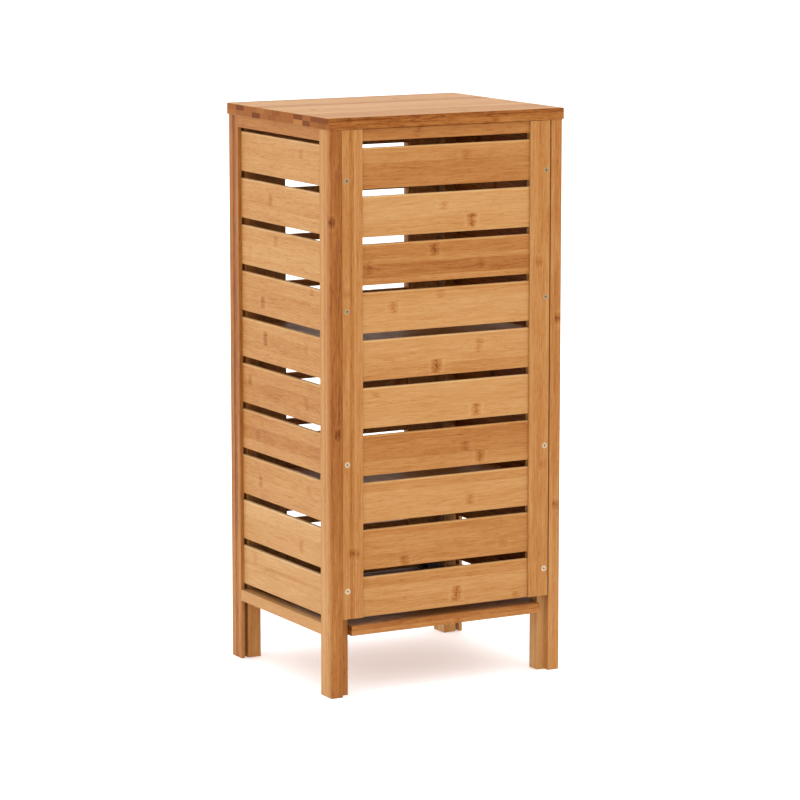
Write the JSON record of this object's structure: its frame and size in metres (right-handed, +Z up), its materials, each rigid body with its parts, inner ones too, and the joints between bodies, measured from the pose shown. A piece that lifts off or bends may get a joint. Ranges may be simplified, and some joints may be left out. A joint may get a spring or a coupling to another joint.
{
  "type": "slatted bamboo storage cabinet with a louvred door",
  "caption": "Tall free-standing bamboo cabinet on four square legs, with slatted sides and back, inner shelves and a framed slatted door",
  "frame": {"origin": "middle of the bounding box, door knob included, on the floor", "axes": "+Z up, +X to the right of someone facing the door, door at -Y, screwed slatted back panel at +Y"},
  "size_m": [0.371, 0.3306, 0.8],
  "materials": {
    "bamboo_back_slat": "satin lacquered bamboo, grain along the slat",
    "bamboo_board": "satin lacquered bamboo board",
    "bamboo_door": "satin lacquered bamboo",
    "bamboo_knob": "turned and lacquered bamboo",
    "bamboo_leg": "satin lacquered bamboo, grain along the leg",
    "bamboo_rail": "satin lacquered bamboo, grain along the rail",
    "bamboo_side_slat": "satin lacquered bamboo, grain along the slat",
    "bamboo_stile": "satin lacquered bamboo, grain along the stile",
    "bamboo_top": "satin lacquered bamboo, grain along the width",
    "beech_dowel": "plain beech",
    "catch_plastic": "dark brown moulded plastic",
    "catch_steel": "bright steel pole plates on a ferrite magnet",
    "hinge_screw": "zinc plated steel",
    "hinge_steel": "satin nickel plated steel",
    "pin_steel": "satin steel",
    "pin_zinc": "zinc plated steel",
    "strike_steel": "zinc plated steel",
    "zinc_screw": "zinc plated steel"
  },
  "bodies": {
    "cabinet": {"back_screws": "zinc_screw", "back_slat_01": "bamboo_back_slat", "back_slat_02": "bamboo_back_slat", "back_slat_03": "bamboo_back_slat", "back_slat_04": "bamboo_back_slat", "back_slat_05": "bamboo_back_slat", "back_slat_06": "bamboo_back_slat", "back_slat_07": "bamboo_back_slat", "back_slat_08": "bamboo_back_slat", "back_slat_09": "bamboo_back_slat", "back_slat_10": "bamboo_back_slat", "back_stile_left": "bamboo_stile", "back_stile_right": "bamboo_stile", "back_top_rail": "bamboo_back_slat", "bottom_board": "bamboo_board", "catch_body": "catch_plastic", "catch_magnet": "catch_steel", "catch_screws": "zinc_screw", "frame_dowels": "beech_dowel", "hinge_frame_leaves": "hinge_steel", "hinge_frame_screws": "hinge_screw", "hinge_pins": "pin_steel", "left_bottom_rail": "bamboo_rail", "left_slats": "bamboo_side_slat", "left_top_rail": "bamboo_rail", "leg_back_left": "bamboo_leg", "leg_back_right": "bamboo_leg", "leg_front_left": "bamboo_leg", "leg_front_right": "bamboo_leg", "lower_shelf": "bamboo_board", "right_bottom_rail": "bamboo_rail", "right_slat_01": "bamboo_side_slat", "right_slat_02": "bamboo_side_slat", "right_slat_03": "bamboo_side_slat", "right_slat_04": "bamboo_side_slat", "right_slat_05": "bamboo_side_slat", "right_slat_06": "bamboo_side_slat", "right_slat_07": "bamboo_side_slat", "right_slat_08": "bamboo_side_slat", "right_slat_09": "bamboo_side_slat", "right_slat_10": "bamboo_side_slat", "right_top_rail": "bamboo_rail", "shelf_pins": "pin_zinc", "top_panel": "bamboo_top", "top_screws": "zinc_screw", "upper_shelf": "bamboo_board"},
    "door": {"door_bottom_rail": "bamboo_door", "door_dowels": "beech_dowel", "door_hinge_stile": "bamboo_door", "door_knob": "bamboo_knob", "door_knob_stile": "bamboo_door", "door_lower_lamellae": "bamboo_door", "door_middle_rail": "bamboo_door", "door_top_rail": "bamboo_door", "door_upper_lamellae": "bamboo_door", "hinge_door_leaves": "hinge_steel", "hinge_door_screws": "hinge_screw", "knob_screw": "zinc_screw", "strike_plate": "strike_steel", "strike_screw": "zinc_screw"}
  },
  "joints": [
    {"name": "door_hinge", "type": "hinge", "parent": "cabinet", "child": "door", "pos_m": [0.1515, -0.14405, 0.4415], "axis": [0, 0, 1], "range_deg": [0, 170]}
  ]
}
